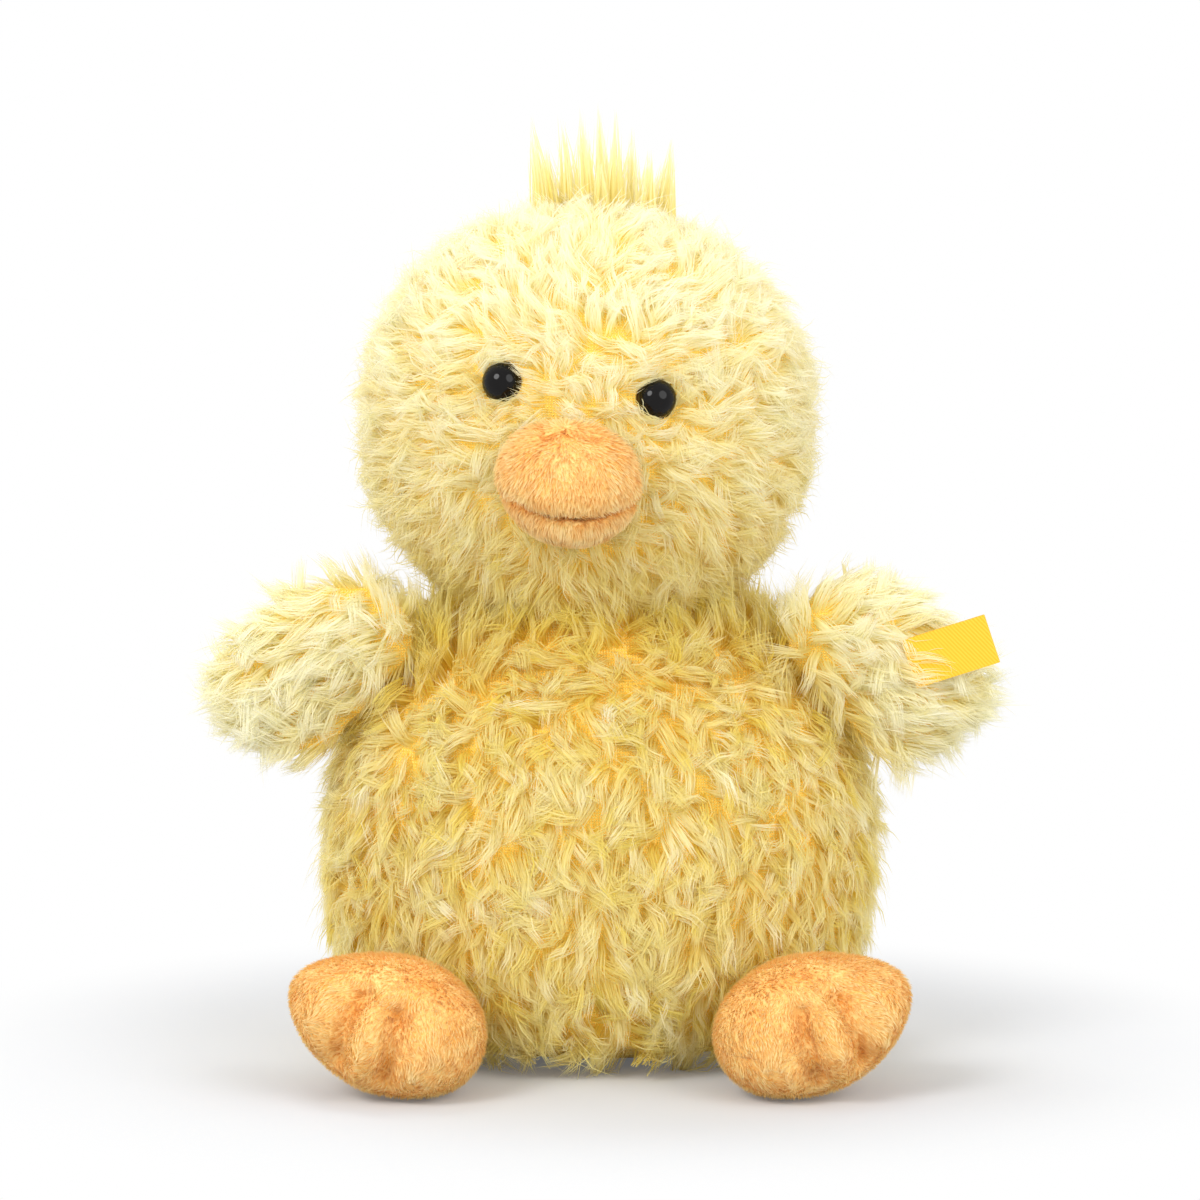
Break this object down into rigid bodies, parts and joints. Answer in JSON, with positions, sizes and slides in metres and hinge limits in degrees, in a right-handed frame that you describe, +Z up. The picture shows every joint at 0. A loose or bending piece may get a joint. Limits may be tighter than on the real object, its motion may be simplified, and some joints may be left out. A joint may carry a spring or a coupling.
{
  "type": "plush chick",
  "caption": "Seated plush chick with a fluffy round body, a turning head, swinging wings, padded feet, a soft beak and a crown tuft.",
  "frame": {"origin": "middle of the flat base that the chick sits on", "axes": "+Z up, -Y towards the front of the chick, +X towards its own left"},
  "size_m": [0.1789, 0.1339, 0.2219],
  "materials": {
    "fur_cloth": "matte",
    "short_pile_cloth": "matte",
    "seat_cloth": "matte",
    "pellet_cloth": "matte",
    "fibre_filling": "matte",
    "thread": "matte",
    "ribbon": "satin",
    "eye_plastic": "gloss",
    "washer_plastic": "matte"
  },
  "bodies": {
    "torso": {"body_front_cover": "fur_cloth", "body_back_cover": "fur_cloth", "body_base_panel": "seat_cloth", "body_stuffing": "fibre_filling", "pellet_bag": "pellet_cloth"},
    "neck": {"neck_stuffing": "fibre_filling"},
    "neck_gather": {"neck_thread": "thread"},
    "head": {"head_left_cover": "fur_cloth", "head_right_cover": "fur_cloth", "head_stuffing": "fibre_filling", "eye_left": "eye_plastic", "eye_right": "eye_plastic", "eye_washer_left": "washer_plastic", "eye_washer_right": "washer_plastic", "beak_upper_cover": "short_pile_cloth", "beak_lower_cover": "short_pile_cloth", "beak_upper_stuffing": "fibre_filling", "beak_lower_stuffing": "fibre_filling", "crown_tuft": "fur_cloth"},
    "wing_left": {"wing_left_front_cover": "fur_cloth", "wing_left_back_cover": "fur_cloth", "wing_left_stuffing": "fibre_filling"},
    "foot_left": {"foot_left_upper_cover": "short_pile_cloth", "foot_left_sole_cover": "short_pile_cloth", "foot_left_stuffing": "fibre_filling", "foot_left_toe_stitch_inner": "thread", "foot_left_toe_stitch_outer": "thread"},
    "wing_right": {"wing_right_front_cover": "fur_cloth", "wing_right_back_cover": "fur_cloth", "wing_right_stuffing": "fibre_filling"},
    "foot_right": {"foot_right_upper_cover": "short_pile_cloth", "foot_right_sole_cover": "short_pile_cloth", "foot_right_stuffing": "fibre_filling", "foot_right_toe_stitch_inner": "thread", "foot_right_toe_stitch_outer": "thread"},
    "tab": {"label_tab": "ribbon"}
  },
  "joints": [
    {"name": "head_turn", "type": "hinge", "parent": "torso", "child": "neck", "pos_m": [-0.002, 0, 0.104], "axis": [0, 0, 1], "range_deg": [-20, 20], "stiffness_Nm_per_rad": 0.15},
    {"name": "head_tilt", "type": "hinge", "parent": "neck", "child": "neck_gather", "pos_m": [-0.002, 0, 0.104], "axis": [0, 1, 0], "range_deg": [-5, 5], "stiffness_Nm_per_rad": 0.3},
    {"name": "head_nod", "type": "hinge", "parent": "neck_gather", "child": "head", "pos_m": [-0.002, 0, 0.104], "axis": [1, 0, 0], "range_deg": [-5, 5], "stiffness_Nm_per_rad": 0.3},
    {"name": "wing_left_swing", "type": "hinge", "parent": "torso", "child": "wing_left", "pos_m": [0.04582, -0.02012, 0.0892], "axis": [0.7019, 0, -0.7123], "range_deg": [-10, 40], "stiffness_Nm_per_rad": 0.012},
    {"name": "wing_right_swing", "type": "hinge", "parent": "torso", "child": "wing_right", "pos_m": [-0.04582, -0.02012, 0.0892], "axis": [0.7019, 0, 0.7123], "range_deg": [-10, 40], "stiffness_Nm_per_rad": 0.012},
    {"name": "foot_left_lift", "type": "hinge", "parent": "torso", "child": "foot_left", "pos_m": [0.03658, -0.04248, 0.026], "axis": [-0.8526, -0.5226, 0], "range_deg": [0, 30], "stiffness_Nm_per_rad": 0.02},
    {"name": "foot_right_lift", "type": "hinge", "parent": "torso", "child": "foot_right", "pos_m": [-0.03658, -0.04248, 0.026], "axis": [-0.8526, 0.5226, 0], "range_deg": [0, 30], "stiffness_Nm_per_rad": 0.02},
    {"name": "tab_flap", "type": "hinge", "parent": "wing_left", "child": "tab", "pos_m": [0.07034, -0.02547, 0.09286], "axis": [0.3206, 0.0565, -0.9455], "range_deg": [-5, 50], "stiffness_Nm_per_rad": 0.00005}
  ]
}
